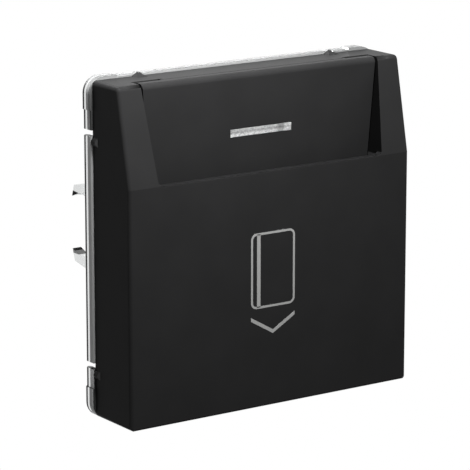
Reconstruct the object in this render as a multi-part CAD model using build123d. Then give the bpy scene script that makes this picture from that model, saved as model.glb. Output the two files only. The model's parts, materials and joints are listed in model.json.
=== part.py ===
from build123d import *
import math
import os

# Hotel key card switch: a moulded cover with a card slot, a tongue that the card pushes
# back, a clear snap frame, and the switch module behind them.
# Millimetres. X is the width, the front faces -Y and +Z is up. The origin is the centre
# of the clear frame's rear plane, which sits on the wall frame.

# Card and the slot's share of the cover's width, which set the size of all the rest
card_width = 53.98
card_thickness = 0.76
card_side_clearance = 0.51
card_play = 1.1
slot_share = 0.7971

# Shares of the cover's size
ridge_share = 0.7116
flap_length_share = 0.6638
hinge_width_share = 0.655
press_drop_share = 0.2986
window_drop_share = 0.1772
rib_inner_share = 0.1304
rib_outer_share = 0.3188
frame_opening_share = 0.8116
frame_gap_share = 0.3464
hook_rise_share = 0.0536
housing_width_share = 0.5797
housing_top_share = 0.3986
terminal_pitch_share = 0.1884

# Front cover
cover_depth = 13.2
cover_top_depth = 9.2
side_wall = 1.8
front_wall = 1.6
front_edge_radius = 0.75
top_edge_radius = 1.2
ridge_radius = 0.5
bottom_edge_radius = 0.5
cover_corner_radius = 1.0
lip_radius = 0.25
cheek_wall = 1.4
recess_flare = 1.65
recess_corner_radius = 1.0
card_rib_height = 1.3
card_rib_width = 1.0
card_rib_end_gap = 3.0
card_rib_slope = 2.5

# Nibs on the cover's rear edge
nib_length = 2.0
nib_proud = 0.45
nib_side_width = 2.0
nib_side_shift = 1.65
nib_top_length = 1.7
nib_top_width = 2.5
nib_top_proud = 0.8
nib_top_set_in = 0.35

# Card flap
flap_wall = 1.6
flap_gap = 0.3
flap_gap_top = 0.55
flap_lean = 1.6
slit_width = 1.2
slit_behind_front = 2.93
nose_width = 11.0
nose_face = 3.0
nose_ramp = 7.0
nose_tail = 1.6
nose_clearance = 0.3
flap_rib_width = 1.2
flap_rib_height = 0.8
flap_rib_offset = 12.0
flap_rib_length = 12.0
pad_radius = 2.6
pad_height = 0.42

# Light window
window_width = 14.95
window_height = 1.62
lens_flange_margin = 1.2
lens_flange = 0.8

# Clear frame
frame_reach = 3.2
frame_proud = 0.35
frame_corner_proud = 0.25
frame_corner_run = 6.3
frame_corner_radius = 3.1
frame_edge_radius = 0.5
frame_skirt = 1.2
frame_flange = 1.3
frame_opening_radius = 4.0
frame_gap_width = 1.3
frame_gap_depth = 2.0
frame_rib = 0.35
frame_rib_width = 0.5
collar_length = 2.15
collar_wall = 1.2
catch_length = 8.0
catch_height = 0.7
catch_proud = 0.4

# Snap hooks of the clear frame
hook_set_in = 1.7
hook_width = 2.0
hook_reach = 7.0
hook_half_span = 7.9
hook_arm = 1.55
hook_taper = 1.8
hook_barb = 0.9
hook_barb_rake = 0.8
hook_barb_length = 2.4

# Carrier plate
carrier_wall = 1.6
carrier_margin = 0.2
box_wall = 1.4
box_lead_in = 1.5
box_gap = 0.7
floor_shelf = 1.4
floor_shelf_gap = 0.2
screw_boss_radius = 2.2
screw_boss_length = 2.0
led_hole_clearance = 0.3

# Switch housing
housing_wall = 1.6
housing_corner_radius = 2.0
ear_reach = 2.8
ear_radius = 2.6
ear_thickness = 2.0
ear_drop = 4.0
screw_radius = 1.0
screw_length = 5.4
screw_head_radius = 2.0
screw_head_height = 1.4
screw_slot_width = 0.5
screw_slot_depth = 0.6
hole_clearance = 0.2

# Plunger and its spring
plunger_radius = 2.0
plunger_bevel = 1.0
plunger_flange_radius = 3.4
plunger_flange = 1.0
stem_radius = 1.5
stem_proud = 0.5
spring_length = 3.4
spring_wire = 0.35
spring_turns = 3.0
spring_arcs = 4
wire_sides = 6
spring_radius = 2.5

# Contact carrier, arm and springs
block_margin = 0.2
block_wall = 1.2
block_above = 5.0
block_below = 5.0
lug_thickness = 1.5
lug_gap = 0.2
pivot_set_in = 1.5
pivot_radius = 0.6
eye_radius = 1.3
arm_thickness = 0.6
arm_height = 5.0
contact_radius = 1.5
contact_height = 0.8
contact_clearance = 0.05
leaf_thickness = 0.25
leaf_height = 3.6
leaf_touch = 4.0

# Terminals and busbars
clamp_spacing = 5.0
clamp_depth = 8.5
clamp_height = 7.4
clamp_gap = 0.75
clamp_wall = 1.0
clamp_screw_radius = 1.45
clamp_head_radius = 2.4
clamp_head_height = 1.8
clamp_head_room = 2.6
wire_radius = 1.5
wire_bore_length = 3.0
wire_boss = 2.7
partition = 1.2
strip_thickness = 0.8
strip_margin = 0.75
strip_level_gap = 1.0
arm_room = 1.6
support_rib_inner = 4.0
support_rib_gap = 2.5
support_rib_thickness = 1.4
neutral_strip_gap = 2.1

# Indicator board
board_thickness = 1.6
board_stand_off = 1.6
board_lap = 0.5
board_rise = 3.0
board_top_gap = 0.7
line_tab_rise = 6.0
neutral_tab_rise = 10.0
stake_radius = 0.9
stake_set_in = 3.5
stake_drop = 6.2
stake_boss_radius = 2.0
led_radius = 1.5
led_flange_radius = 1.9
led_flange = 1.0
led_gap = 0.69
led_bevel = 0.5
resistor_radius = 1.15
resistor_length = 6.3
resistor_rise = 3.5
resistor_lead_radius = 0.3
resistor_lead_bend = 0.7
resistor_lead_reach = 1.95

# Clearances and the overrun of cuts
seat = 0.05
running = 0.05
overrun = 1.0

# Planes and places worked out from the sizes above
pocket_half = card_width / 2 + card_side_clearance
cover_size = 2 * pocket_half / slot_share
half_size = cover_size / 2
ridge_height = cover_size * ridge_share
flap_length = cover_size * flap_length_share
hinge_half_width = cover_size * hinge_width_share / 2
press_drop = cover_size * press_drop_share
window_drop = cover_size * window_drop_share
card_rib_inner = cover_size * rib_inner_share
card_rib_outer = cover_size * rib_outer_share
frame_opening = cover_size * frame_opening_share
frame_gap_offset = cover_size * frame_gap_share
hook_center = cover_size * hook_rise_share
housing_width = cover_size * housing_width_share
housing_top = cover_size * housing_top_share
terminal_pitch = cover_size * terminal_pitch_share
clamp_width = terminal_pitch - clamp_spacing
cover_rear = -frame_reach
cover_front = cover_rear - cover_depth
cover_top_front = cover_rear - cover_top_depth
ridge_z = ridge_height - half_size
front_inner = cover_front + front_wall
inner_half = half_size - side_wall
hinge_y = cover_top_front + slit_behind_front
hinge_z = half_size - side_wall / 2
barrel_radius = side_wall / 2
lean_slope = math.tan(math.radians(flap_lean))
press_z = ridge_z - press_drop
press_face = cover_top_front + (half_size - press_z) * lean_slope
flap_bottom = half_size - flap_length
window_z = half_size - window_drop
lens_face = cover_top_front + (window_drop + window_height / 2) * lean_slope
card_back = front_inner + card_rib_height + card_thickness
nose_front = front_inner + nose_clearance
card_push = card_back - nose_front
flap_travel = math.atan(card_push / (hinge_z - press_z))
pocket_back = card_back + card_play
carrier_rear = cover_rear - collar_length - seat
carrier_front = carrier_rear - carrier_wall
carrier_half = inner_half - carrier_margin
box_top = flap_bottom - box_gap
collar_half = inner_half - seat
housing_half = housing_width / 2
plunger_front = press_face + flap_wall + pad_height + seat
flange_rear = carrier_rear + seat + plunger_flange
block_front = flange_rear + spring_length + 2 * seat
block_rear = block_front + block_wall
stem_tip = block_rear + stem_proud
arm_front = stem_tip + 2 * seat
arm_rear = arm_front + arm_thickness
pivot_y = arm_front + arm_thickness / 2
pivot_offset = terminal_pitch - pivot_set_in
block_half_width = terminal_pitch + block_margin
arm_low = press_z - arm_height / 2
arm_high = press_z + arm_height / 2
arm_angle = flap_travel * (hinge_z - press_z) / pivot_offset
arm_contact_face = arm_rear + contact_height
contact_sweep = (terminal_pitch + pivot_offset + contact_radius) * math.sin(arm_angle)
load_front = arm_contact_face + contact_sweep + contact_clearance + contact_height
clamp_top = arm_low - arm_room - strip_thickness - strip_level_gap
clamp_bottom = clamp_top - clamp_height
housing_bottom = housing_wall + clamp_head_room - clamp_bottom
ear_z_low = ear_drop - housing_bottom
ear_z_high = housing_top - ear_drop
ear_offset = housing_half + ear_reach
front_leg_y = arm_rear + strip_thickness / 2 - contact_clearance
clamp_front = front_leg_y + strip_thickness / 2 + clamp_gap
clamp_rear = clamp_front + clamp_depth
housing_rear = clamp_rear + seat + wire_bore_length
tab_z = clamp_top - clamp_wall - running - strip_thickness / 2
wire_z = tab_z - strip_thickness / 2 - running - wire_radius
strip_level = clamp_top + strip_level_gap + strip_thickness / 2
strip_width = clamp_width - 2 * (clamp_wall + strip_margin)
line_strip_outer = -terminal_pitch - clamp_width / 2 + clamp_wall
line_strip_width = -line_strip_outer - block_half_width - 2 * seat
board_rear = carrier_rear + board_stand_off + board_thickness
board_front = carrier_rear + board_stand_off
board_top = housing_top - housing_wall - board_top_gap
lens_rear = lens_face + flap_wall + seat + lens_flange
led_length = board_front - lens_rear - led_gap
board_bottom = press_z + block_above + board_rise
board_half_width = -line_strip_outer - board_lap
line_tab_height = board_bottom + line_tab_rise
neutral_tab_height = board_bottom + neutral_tab_rise
resistor_height = neutral_tab_height + resistor_rise
stake_offset = board_half_width - stake_set_in
stake_height = board_top - stake_drop


def block(x, y, z):
    """Box between the low and high value on each axis."""
    sides = [high - low for low, high in (x, y, z)]
    middle = [(low + high) / 2 for low, high in (x, y, z)]
    return Pos(*middle) * Box(*sides)


def rod_x(radius, x_low, x_high, y, z):
    """Cylinder along X."""
    plane = Plane((x_low, y, z), x_dir=(0, 1, 0), z_dir=(1, 0, 0))
    return extrude(plane * Circle(radius), x_high - x_low)


def rod_y(radius, y_low, y_high, x, z):
    """Cylinder along Y."""
    plane = Plane((x, y_low, z), x_dir=(1, 0, 0), z_dir=(0, 1, 0))
    return extrude(plane * Circle(radius), y_high - y_low)


def rod_z(radius, z_low, z_high, x, y):
    """Cylinder along Z."""
    return extrude(Plane((x, y, z_low)) * Circle(radius), z_high - z_low)


def profile_x(points, x_low, x_high, radii=None):
    """Side outline of (y, z) points, run along X, with a radius for each chosen corner."""
    face = make_face(Polyline(points, close=True))
    for (y, z), radius in (radii or {}).items():
        corner = face.vertices().sort_by_distance((y, z, 0))[0]
        face = fillet(corner, radius)
    plane = Plane((x_low, 0, 0), x_dir=(0, 1, 0), z_dir=(1, 0, 0))
    return extrude(plane * face, x_high - x_low)


def outline_y(points, y_low, y_high, radii=None):
    """Front outline of (x, z) points, run along Y, with a radius for each chosen corner."""
    face = make_face(Polyline(points, close=True))
    for (x, z), radius in (radii or {}).items():
        corner = face.vertices().sort_by_distance((x, z, 0))[0]
        face = fillet(corner, radius)
    plane = Plane((0, y_high, 0), x_dir=(1, 0, 0), z_dir=(0, -1, 0))
    return extrude(plane * face, y_high - y_low)


def plan_z(points, z_low, z_high):
    """Plan outline of (x, y) points, run along Z."""
    face = make_face(Polyline(points, close=True))
    return extrude(Plane((0, 0, z_low)) * face, z_high - z_low)


def square_plate(half, radius, y_low, y_high):
    """Square with rounded corners, centred on the Y axis."""
    plane = Plane((0, y_high, 0), x_dir=(1, 0, 0), z_dir=(0, -1, 0))
    return extrude(plane * RectangleRounded(2 * half, 2 * half, radius), y_high - y_low)


def square_ring(half, wall, radius, y_low, y_high):
    """Square band with rounded corners and an even wall."""
    outer = square_plate(half, radius, y_low, y_high)
    return outer - square_plate(half - wall, radius - wall / 2, y_low - overrun, y_high + overrun)


def flap_face_y(z):
    """Depth of the flap's front face at a height."""
    return cover_top_front + (half_size - z) * lean_slope


def recess_half(z):
    """Half width of the recess at a height above the ridge."""
    return pocket_half + recess_flare * (z - ridge_z) / (half_size - ridge_z)


def cover_outline(inset, front_inset):
    """Side outline of the cover as (y, z) points, drawn in from the outside."""
    slope = (cover_depth - cover_top_depth) / (half_size - ridge_z)
    length = math.hypot(cover_depth - cover_top_depth, half_size - ridge_z)
    shift = front_inset * length / (half_size - ridge_z)
    top = half_size - inset
    front = cover_front + front_inset
    rear = cover_rear + (overrun if inset else 0)
    top_front = cover_top_front + shift - slope * inset
    ridge = half_size - (front - cover_top_front - shift) / -slope
    return [(rear, inset - half_size), (front, inset - half_size), (front, ridge),
            (top_front, top), (rear, top)]


def cheek_walls():
    """The walls on both sides of the recess and the card pocket."""
    walls = []
    for side in (-1, 1):
        inner = [(pocket_half, -inner_half), (pocket_half, ridge_z), (recess_half(half_size), half_size)]
        outer = [(x + cheek_wall, z) for x, z in reversed(inner)]
        points = [(side * x, z) for x, z in inner + outer]
        walls.append(outline_y(points, cover_front - overrun, carrier_front))
    return walls


def card_ribs():
    """Ribs on the back of the front wall that hold the card towards the flap's nose."""
    ribs = []
    low = -inner_half
    high = ridge_z - card_rib_end_gap
    back = front_inner + card_rib_height
    points = [(front_inner - front_wall / 2, low), (back, low), (back, high - card_rib_slope),
              (front_inner, high), (front_inner - front_wall / 2, high)]
    for offset in (card_rib_inner, card_rib_outer):
        for side in (-1, 1):
            middle = side * offset
            ribs.append(profile_x(points, middle - card_rib_width / 2, middle + card_rib_width / 2))
    return ribs


def cover_nibs():
    """Small half cones on the sides and wedges on the top, at the cover's rear edge."""
    nibs = []
    for side in (-1, 1):
        for place in (frame_gap_offset, -frame_gap_offset):
            z = place - nib_side_shift
            tip = nib_side_width / 2
            cone = Cone(tip, tip / 2, nib_length)
            nibs.append(Pos(side * (half_size + nib_proud - tip), cover_rear - nib_length / 2, z)
                        * Rot(90, 0, 0) * cone)
    for side in (-1, 1):
        x = side * (frame_gap_offset - nib_top_set_in)
        half = nib_top_width / 2
        face = [(x - half, half_size - nib_proud), (x, half_size + nib_top_proud),
                (x + half, half_size - nib_proud)]
        wedge = outline_y(face, cover_rear - nib_top_length, cover_rear)
        slope = [(cover_rear, half_size - nib_proud), (cover_rear, half_size + nib_top_proud),
                 (cover_rear - nib_top_length, half_size - nib_proud)]
        nibs.append(wedge & profile_x(slope, x - half, x + half))
    return nibs


def catch_ridges(grow):
    """Catches on the four sides of the clear frame's collar, or their seats in the cover."""
    ridges = []
    middle = cover_rear - collar_length / 2
    for turn in (0, 90, 180, 270):
        ridge = block((-catch_length / 2 - grow, catch_length / 2 + grow),
                      (middle - catch_height / 2 - grow, middle + catch_height / 2 + grow),
                      (collar_half - collar_wall / 2, collar_half + catch_proud + grow))
        ridges.append(Rot(0, turn, 0) * ridge)
    return ridges


def build_front_cover():
    """The black moulded cover: outer shell, recess, slot lip, ribs and nibs."""
    outline = cover_outline(0, 0)
    shell = profile_x(outline, -half_size, half_size, {
        outline[1]: bottom_edge_radius, outline[2]: ridge_radius, outline[3]: top_edge_radius})
    sides = [edge for edge in shell.edges() if abs(abs(edge.center().X) - half_size) < seat
             and edge.center().Y < cover_top_front + top_edge_radius / 2
             and edge.center().Z > bottom_edge_radius - half_size]
    shell = fillet(sides, front_edge_radius)
    shell = shell & square_plate(half_size, cover_corner_radius, cover_front - overrun, cover_rear)
    outside = shell
    shell = shell - profile_x(cover_outline(side_wall, front_wall), -inner_half, inner_half)
    for wall in cheek_walls():
        shell = shell + (wall & outside)
    recess = [(-pocket_half, ridge_z), (pocket_half, ridge_z),
              (recess_half(half_size + overrun), half_size + overrun),
              (-recess_half(half_size + overrun), half_size + overrun)]
    corners = {recess[0]: recess_corner_radius, recess[1]: recess_corner_radius}
    shell = shell - outline_y(recess, cover_front - overrun, hinge_y, corners)
    shell = shell - rod_x(barrel_radius + running, -hinge_half_width - flap_gap,
                          hinge_half_width + flap_gap, hinge_y, hinge_z)
    for side in (-1, 1):
        ends = sorted((side * hinge_half_width, side * recess_half(half_size)))
        shell = shell - block(ends, (hinge_y - slit_width, hinge_y + slit_width / 2),
                              (half_size - 2 * side_wall, half_size + overrun))
    for rib in card_ribs():
        shell = shell + rib
    lip_half = pocket_half - recess_corner_radius
    lip = block((-lip_half, lip_half), (cover_front - overrun, cover_front + lip_radius),
                (ridge_z - lip_radius, ridge_z + overrun))
    shell = shell - (lip - rod_x(lip_radius, -half_size, half_size, cover_front + lip_radius,
                                 ridge_z - lip_radius))
    for nib in cover_nibs():
        shell = shell + nib
    for ridge in catch_ridges(seat):
        shell = shell - ridge
    return shell


def build_card_flap():
    """The tongue: top strip with the hinge barrel, leaning face, nose, ribs and pad."""
    top = half_size
    points = [(hinge_y, top), (cover_top_front, top), (flap_face_y(flap_bottom), flap_bottom),
              (flap_face_y(flap_bottom) + flap_wall, flap_bottom),
              (flap_face_y(top - side_wall) + flap_wall, top - side_wall), (hinge_y, top - side_wall)]
    side = recess_half(top)
    flap = profile_x(points, -side, side, {points[1]: top_edge_radius})
    nose_low = press_z - nose_face / 2
    nose_high = press_z + nose_face / 2
    nose = [(nose_front, nose_low), (nose_front, nose_high),
            (flap_face_y(nose_high + nose_ramp) + flap_wall / 2, nose_high + nose_ramp),
            (flap_face_y(nose_low) + flap_wall / 2, nose_low - nose_tail)]
    flap = flap + profile_x(nose, -nose_width / 2, nose_width / 2)
    low_half = pocket_half - flap_gap
    top_half = side - flap_gap_top
    outline = [(-low_half, flap_bottom - overrun), (low_half, flap_bottom - overrun),
               (low_half, ridge_z), (top_half, top), (top_half, top + overrun),
               (-top_half, top + overrun), (-top_half, top), (-low_half, ridge_z)]
    flap = flap & outline_y(outline, cover_front - overrun, cover_rear)
    for way in (-1, 1):
        ends = sorted((way * hinge_half_width, way * (side + overrun)))
        flap = flap - block(ends, (hinge_y - slit_width / 2, hinge_y + overrun),
                            (top - 2 * side_wall, top + overrun))
        middle = way * flap_rib_offset
        back = flap_face_y(top - 2 * side_wall) + flap_wall
        rib_top = top - side_wall - seat
        rib = [(back - flap_wall / 2, rib_top), (back + flap_rib_height, rib_top),
               (back + flap_rib_height, rib_top - flap_rib_length),
               (back, rib_top - flap_rib_length - flap_rib_height)]
        flap = flap + profile_x(rib, middle - flap_rib_width / 2, middle + flap_rib_width / 2)
    flap = flap + rod_x(barrel_radius, -hinge_half_width, hinge_half_width, hinge_y, hinge_z)
    pad = rod_y(pad_radius, press_face + flap_wall / 2, plunger_front - seat, 0, press_z)
    flap = flap + pad
    half = window_width / 2 + seat
    tall = window_height / 2 + seat
    behind = flap_face_y(window_z) + flap_wall + overrun
    return flap - block((-half, half), (cover_front, behind), (window_z - tall, window_z + tall))


def build_window_lens():
    """The clear light window, flush with the flap's face, on a flange behind it."""
    low = window_z - window_height / 2
    high = window_z + window_height / 2
    back = lens_rear - lens_flange
    bar = [(flap_face_y(low), low), (back + lens_flange / 2, low),
           (back + lens_flange / 2, high), (flap_face_y(high), high)]
    lens = profile_x(bar, -window_width / 2, window_width / 2)
    half = window_width / 2 + lens_flange_margin
    flange = block((-half, half), (back, back + lens_flange),
                   (low - lens_flange_margin, high + lens_flange_margin))
    return lens + flange


def snap_hook(side, way):
    """One hook: an arm with a barb, on the left or right side, above or below."""
    outer = hook_half_span
    inner = hook_half_span - hook_arm
    barb = inner - hook_barb
    root = cover_rear + frame_flange / 2
    points = [(root, outer + hook_taper), (hook_reach, outer), (hook_reach + hook_barb_rake, barb),
              (hook_reach + hook_barb_rake - hook_barb_length, inner), (root, inner)]
    points = [(y, hook_center + way * z) for y, z in points]
    low = half_size - hook_set_in - hook_width
    ends = sorted((side * low, side * (low + hook_width)))
    return profile_x(points, *ends)


def frame_skirt_ring(grow):
    """The skirt's square band with its rear outer edge broken, grown by a step."""
    half = half_size + frame_proud + grow
    radius = frame_corner_radius + grow
    skirt = square_ring(half, frame_skirt + grow, radius, cover_rear, 0)
    rim = skirt.faces().sort_by(Axis.Y)[-1].edges()
    outer_rim = [edge for edge in rim if abs(edge.center().X) > half - frame_skirt / 2
                 or abs(edge.center().Z) > half - frame_skirt / 2
                 or edge.length > radius * math.pi / 2 - frame_skirt / 2]
    outer_rim = [edge for edge in outer_rim if edge.length > seat]
    return chamfer(outer_rim, frame_edge_radius)


def build_clear_frame():
    """The clear snap frame: skirt with gaps, flange, collar with catches, and hooks."""
    half = half_size + frame_proud
    run = half - frame_corner_run
    frame = frame_skirt_ring(0)
    corners = frame_skirt_ring(frame_corner_proud)
    for bar in ((run, half_size + half), (half_size + half, run)):
        corners = corners - block((-bar[0], bar[0]), (cover_rear - overrun, overrun), (-bar[1], bar[1]))
    frame = frame + corners
    flange = square_plate(half - frame_skirt / 2, frame_corner_radius, cover_rear,
                          cover_rear + frame_flange)
    opening = square_plate(frame_opening / 2, frame_opening_radius, cover_front, housing_rear)
    frame = frame + (flange - opening)
    frame = frame + square_ring(collar_half, collar_wall, frame_corner_radius - frame_skirt,
                                cover_rear - collar_length, cover_rear + frame_flange / 2)
    for ridge in catch_ridges(0):
        frame = frame + ridge
    inner = half - frame_skirt
    for turn in (0, 90, 180, 270):
        for place in (-frame_gap_offset, frame_gap_offset):
            notch = block((place - frame_gap_width / 2, place + frame_gap_width / 2),
                          (cover_rear - overrun, overrun), (half - frame_gap_depth, half + overrun))
            frame = frame - Rot(0, turn, 0) * notch
        rib_half = frame_gap_offset - frame_gap_width
        rib = block((-rib_half, rib_half),
                    (cover_rear + frame_flange / 2, -frame_edge_radius - frame_rib_width),
                    (inner - frame_rib, inner + frame_rib))
        frame = frame + Rot(0, turn, 0) * rib
    for side in (-1, 1):
        for way in (-1, 1):
            frame = frame + snap_hook(side, way)
    return frame


def ear_places():
    """The (x, z) places of the two housing screws, on the diagonal."""
    return [(-ear_offset, ear_z_low), (ear_offset, ear_z_high)]


def build_carrier_plate():
    """The pocket's back wall and floor, with plunger guide, bosses and light hole."""
    plate = block((-carrier_half, carrier_half), (carrier_front, carrier_rear),
                  (-carrier_half, carrier_half))
    half = pocket_half - flap_gap
    points = [(pocket_back, -carrier_half), (pocket_back, box_top - box_lead_in),
              (pocket_back + box_lead_in, box_top), (carrier_front + seat, box_top),
              (carrier_front + seat, -carrier_half)]
    plate = plate + profile_x(points, -half, half)
    hollow = [(pocket_back + box_wall, box_wall - carrier_half),
              (pocket_back + box_wall, box_top - box_lead_in - box_wall / 2),
              (pocket_back + box_lead_in + box_wall / 2, box_top - box_wall),
              (carrier_rear + overrun, box_top - box_wall),
              (carrier_rear + overrun, box_wall - carrier_half)]
    plate = plate - profile_x(hollow, box_wall - half, half - box_wall)
    plate = plate + block((-half, half),
                          (front_inner + card_rib_height + floor_shelf_gap, pocket_back + box_wall),
                          (-carrier_half, floor_shelf - carrier_half))
    boss_front = carrier_front - screw_boss_length
    for x, z in ear_places():
        low = min(boss_front, pocket_back + box_wall / 2) if z < box_top else boss_front
        plate = plate + rod_y(screw_boss_radius, low, carrier_rear, x, z)
        plate = plate - rod_y(screw_radius + running, boss_front, carrier_rear + overrun, x, z)
    plate = plate - rod_y(plunger_radius + running, carrier_front - overrun,
                          carrier_rear + overrun, 0, press_z)
    plate = plate - rod_y(led_radius + led_hole_clearance, carrier_front - overrun,
                          carrier_rear + overrun, 0, window_z)
    for side in (-1, 1):
        x = side * stake_offset
        plate = plate + rod_y(stake_boss_radius, carrier_rear - seat, board_front, x, stake_height)
        plate = plate + rod_y(stake_radius, board_front - seat, board_rear + stake_radius,
                              x, stake_height)
    return plate


def terminal_places():
    """The x places of the line, neutral and load terminals."""
    return {"line": -terminal_pitch, "neutral": 0, "load": terminal_pitch}


def build_switch_housing():
    """The deep tub with its ears, terminal chambers, wire bores and support ribs."""
    middle = (housing_top - housing_bottom) / 2
    height = housing_top + housing_bottom
    plane = Plane((0, housing_rear, middle), x_dir=(1, 0, 0), z_dir=(0, -1, 0))
    tub = extrude(plane * RectangleRounded(housing_width, height, housing_corner_radius),
                  housing_rear - carrier_rear - seat)
    rear_edges = tub.faces().sort_by(Axis.Y)[-1].edges()
    tub = chamfer(rear_edges, housing_corner_radius / 2)
    inner = housing_half - housing_wall
    low = housing_wall - housing_bottom
    high = housing_top - housing_wall
    floor = housing_rear - housing_wall
    tub = tub - block((-inner, inner), (carrier_rear - overrun, floor), (low, high))
    for x, z in ear_places():
        side = math.copysign(1, x)
        ends = sorted((side * (housing_half - housing_wall / 2), x))
        front = carrier_rear + seat
        tub = tub + block(ends, (front, front + ear_thickness), (z - ear_radius, z + ear_radius))
        tub = tub + rod_y(ear_radius, front, front + ear_thickness, x, z)
        tub = tub - rod_y(screw_radius + hole_clearance, front - overrun,
                          front + ear_thickness + overrun, x, z)
    for side in (-1, 1):
        x = side * terminal_pitch / 2
        tub = tub + block((x - partition / 2, x + partition / 2), (clamp_front, floor + seat),
                          (low - seat, clamp_top))
        ends = sorted((side * support_rib_inner, side * (pivot_offset - support_rib_gap)))
        rib_low = arm_high + strip_thickness / 2
        tub = tub + block(ends, (block_rear + seat, floor + seat),
                          (rib_low, rib_low + support_rib_thickness))
    half = terminal_pitch + wire_boss
    tub = tub + block((-half, half), (housing_rear - wire_bore_length, floor + seat),
                      (wire_z - wire_boss, wire_z + wire_boss))
    for x in terminal_places().values():
        tub = tub - rod_y(wire_radius, floor - wire_bore_length, housing_rear + overrun, x, wire_z)
        middle = (clamp_front + clamp_rear) / 2
        tub = tub - rod_z(clamp_head_radius + hole_clearance, low - housing_wall - overrun,
                          low + overrun, x, middle)
    return tub


def build_housing_screws():
    """Two slotted screws from the housing's ears into the carrier plate."""
    screws = []
    seat_y = carrier_rear + seat + ear_thickness
    for x, z in ear_places():
        shaft = rod_y(screw_radius, seat_y + seat - screw_length, seat_y + seat, x, z)
        head = rod_y(screw_head_radius, seat_y + seat, seat_y + seat + screw_head_height, x, z)
        top = seat_y + seat + screw_head_height
        slot = block((x - screw_head_radius, x + screw_head_radius),
                     (top - screw_slot_depth, top + overrun),
                     (z - screw_slot_width / 2, z + screw_slot_width / 2))
        screws.append(shaft + head - slot)
    return Compound(children=screws)


def build_plunger():
    """The pin that the flap presses: domed front, flange that stops it, and stem."""
    low = carrier_rear + seat
    points = [(0, plunger_front), (plunger_radius - plunger_bevel, plunger_front),
              (plunger_radius, plunger_front + plunger_bevel), (plunger_radius, low),
              (plunger_flange_radius, low), (plunger_flange_radius, flange_rear),
              (stem_radius, flange_rear), (stem_radius, stem_tip - plunger_bevel),
              (stem_radius - plunger_bevel, stem_tip), (0, stem_tip)]
    profile = make_face(Polyline(points, close=True))
    return Pos(0, 0, press_z) * revolve(profile, Axis.Y)


def build_return_spring():
    """Compression spring between the plunger's flange and the spring seat."""
    wire = spring_wire / 2
    start = flange_rear + seat + wire
    height = spring_length - spring_wire

    def point(turns):
        angle = math.tau * turns
        return Vector(spring_radius * math.cos(angle), start + height * turns / spring_turns,
                      press_z + spring_radius * math.sin(angle))

    arcs = []
    for index in range(round(spring_turns * spring_arcs)):
        low = index / spring_arcs
        high = (index + 1) / spring_arcs
        arcs.append(ThreePointArc(point(low), point((low + high) / 2), point(high)))
    path = Wire(arcs)
    plane = Plane(origin=path @ 0, x_dir=(0, 1, 0), z_dir=path % 0)
    return sweep(plane * RegularPolygon(wire, wire_sides), path=path)


def build_contact_carrier():
    """The insulating block: spring seat, legs to the carrier plate, pivot lugs."""
    low = press_z - block_below
    high = press_z + block_above
    half = block_half_width
    body = block((-half, half), (block_front, block_rear), (low, high))
    for side in (-1, 1):
        ends = sorted((side * half, side * (half - block_wall)))
        body = body + block(ends, (carrier_rear + seat, block_rear), (low, high))
    body = body - rod_y(stem_radius + running, block_front - overrun, block_rear + overrun, 0, press_z)
    lug_rear = pivot_y + eye_radius
    for way, edge in ((-1, arm_low), (1, arm_high)):
        ends = sorted((edge + way * lug_gap, edge + way * (lug_gap + lug_thickness)))
        lug = block((-half, eye_radius - pivot_offset), (block_front, lug_rear), ends)
        body = body + lug
    body = body - rod_z(eye_radius + lug_gap, arm_low - lug_gap, arm_high + lug_gap,
                        -pivot_offset, pivot_y)
    pin_low = arm_low - lug_gap - lug_thickness
    pin_high = arm_high + lug_gap + lug_thickness
    return body - rod_z(pivot_radius + running, pin_low - overrun, pin_high + overrun,
                        -pivot_offset, pivot_y)


def build_contact_pivot_pin():
    """The pin through the lugs and the arm's eye."""
    reach = arm_height / 2 + lug_gap + lug_thickness
    return rod_z(pivot_radius, press_z - reach, press_z + reach, -pivot_offset, pivot_y)


def build_contact_arm():
    """The moving arm: a rolled eye on the pin and a strip that the plunger pushes."""
    end = terminal_pitch + contact_radius + strip_thickness
    arm = block((-pivot_offset, end), (arm_front, arm_rear), (arm_low, arm_high))
    arm = arm + rod_z(eye_radius, arm_low, arm_high, -pivot_offset, pivot_y)
    return arm - rod_z(pivot_radius + running, arm_low - overrun, arm_high + overrun,
                       -pivot_offset, pivot_y)


def contact_button(y_low, y_high):
    """A round contact button on the arm or on the load strip."""
    return rod_y(contact_radius, y_low, y_high, terminal_pitch, press_z)


def build_contact_spring():
    """The leaf that pushes the arm back towards the plunger and feeds it."""
    root = line_strip_outer
    foot = front_leg_y + strip_thickness / 2
    over = pivot_y + eye_radius + contact_clearance * 4
    tip = arm_rear + contact_clearance
    edge = line_strip_outer + line_strip_width
    path = [(root, foot), (edge, foot), (-pivot_offset - eye_radius / 2, over),
            (-pivot_offset + eye_radius, over), (-leaf_touch - eye_radius, tip), (-leaf_touch, tip)]
    back = [(x, y + leaf_thickness) for x, y in reversed(path)]
    return plan_z(path + back, press_z - leaf_height / 2, press_z + leaf_height / 2)


def bent_strip(points, x_low, x_high):
    """A flat strip folded along (y, z) points, with an even thickness."""
    face = Plane.XY * trace(Polyline(points), line_width=strip_thickness)
    plane = Plane((x_low, 0, 0), x_dir=(0, 1, 0), z_dir=(1, 0, 0))
    return extrude(plane * face, x_high - x_low)


def build_line_busbar():
    """Strip from the line clamp up to the contact spring and forward to the board."""
    points = [(clamp_rear, tab_z), (front_leg_y, tab_z), (front_leg_y, line_tab_height),
              (board_rear + seat, line_tab_height)]
    return bent_strip(points, line_strip_outer, line_strip_outer + line_strip_width)


def build_load_busbar():
    """Strip from the load clamp, bent back and up behind the arm's contact."""
    y = load_front + strip_thickness / 2
    points = [(clamp_rear, tab_z), (front_leg_y, tab_z), (front_leg_y, strip_level),
              (y, strip_level), (y, arm_high)]
    return bent_strip(points, terminal_pitch - strip_width / 2, terminal_pitch + strip_width / 2)


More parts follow.
